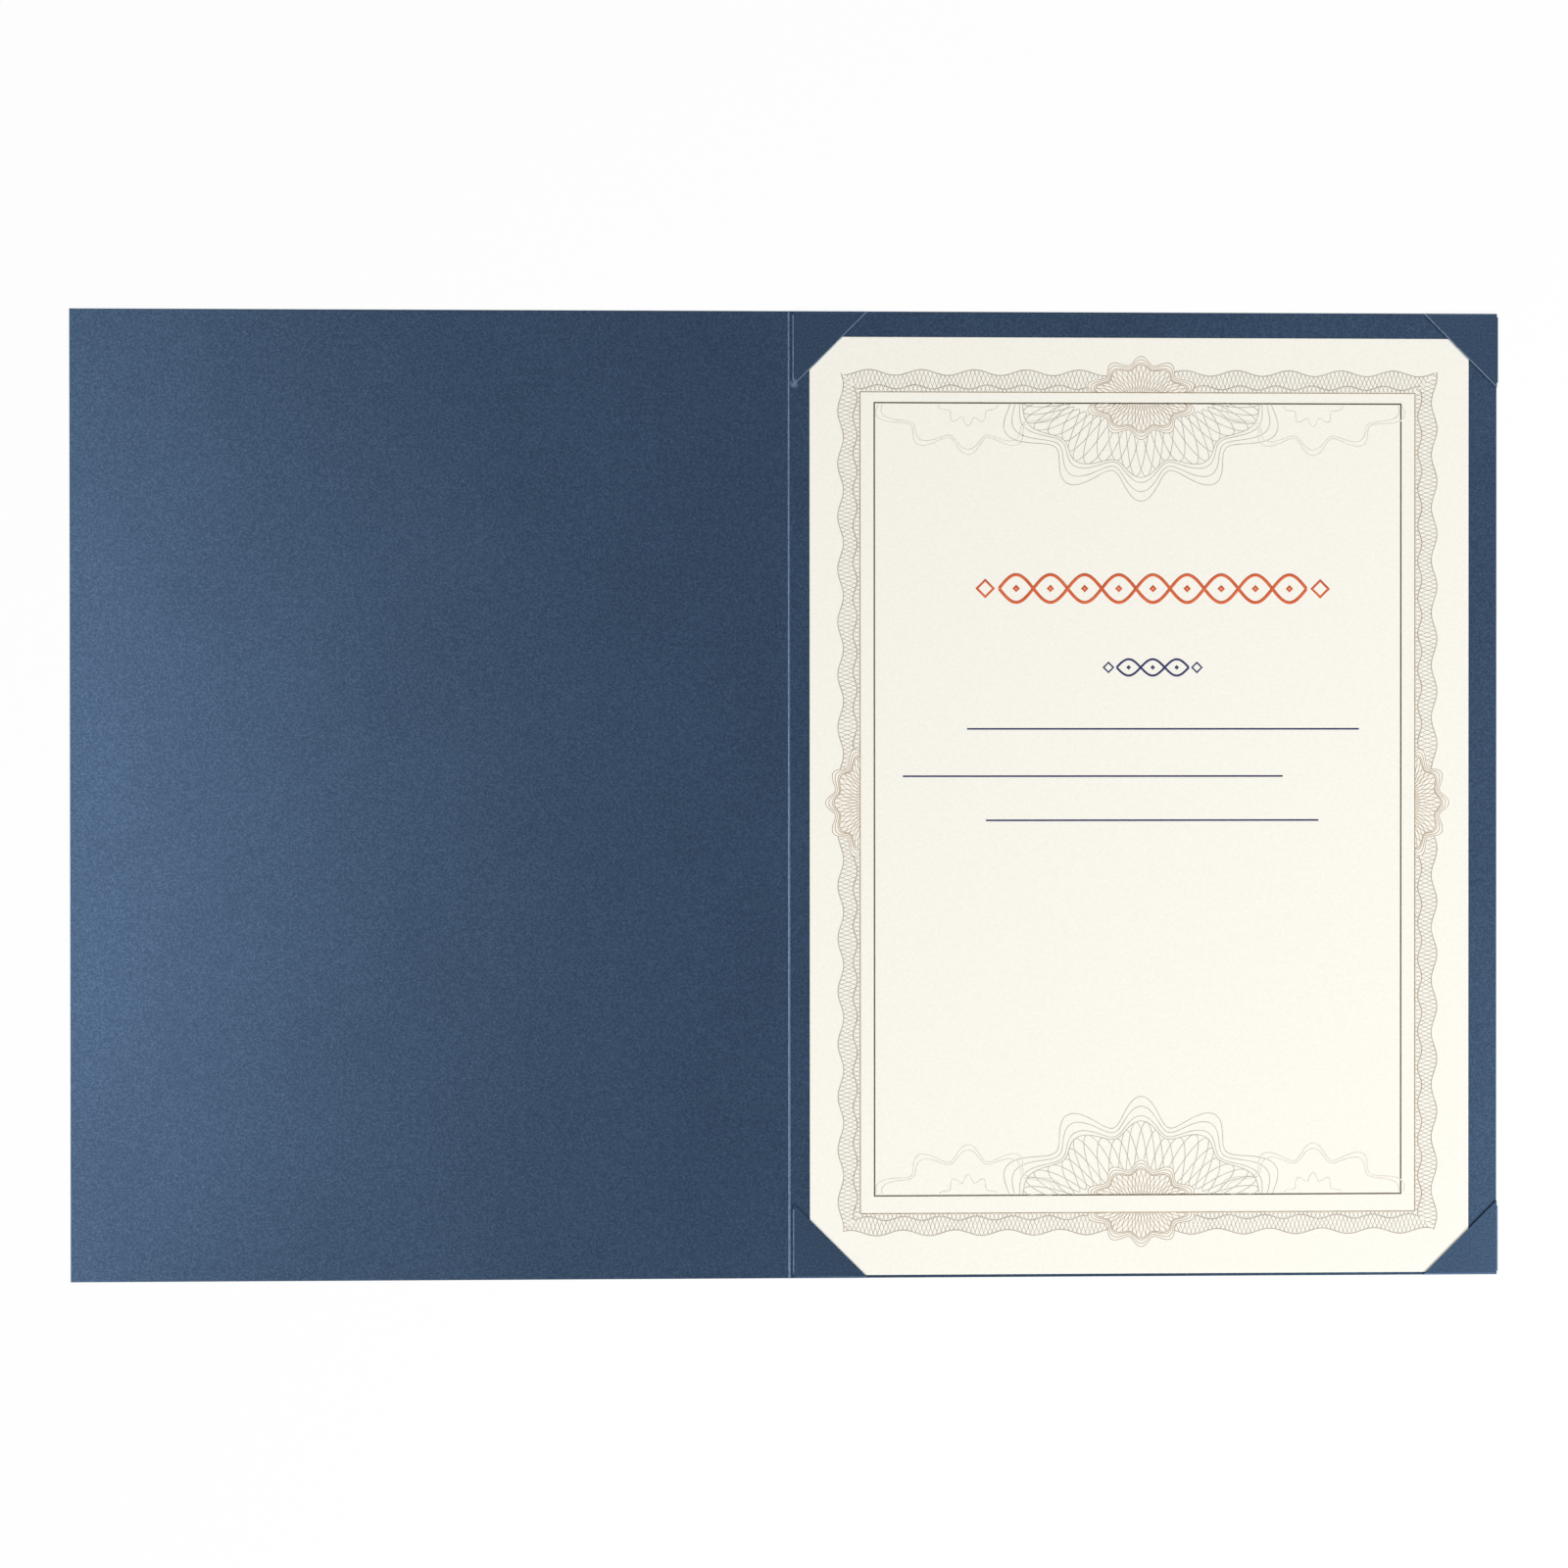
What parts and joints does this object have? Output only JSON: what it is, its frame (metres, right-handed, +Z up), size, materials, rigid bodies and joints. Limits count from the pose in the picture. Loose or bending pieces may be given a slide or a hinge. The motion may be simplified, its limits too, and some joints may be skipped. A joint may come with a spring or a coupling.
{
  "type": "diploma cover",
  "caption": "Open card cover with a creased spine; folded corner pockets on the back cover hold an A4 certificate sheet.",
  "frame": {"origin": "on the table, under the middle of the crease", "axes": "+X across the open cover towards the back cover's free edge, +Y up the page, +Z up from the table"},
  "size_m": [0.452, 0.306, 0.0012],
  "materials": {
    "pearl_card": "pearl card, satin, fine grain",
    "certificate_paper": "matt, printed"
  },
  "bodies": {
    "back": {"back_cover": "pearl_card", "certificate": "certificate_paper"},
    "front": {"front_cover": "pearl_card"}
  },
  "joints": [
    {"name": "cover_hinge", "type": "hinge", "parent": "back", "child": "front", "pos_m": [0, 0, 0.0009], "axis": [0, 1, 0], "range_deg": [0, 180]}
  ]
}
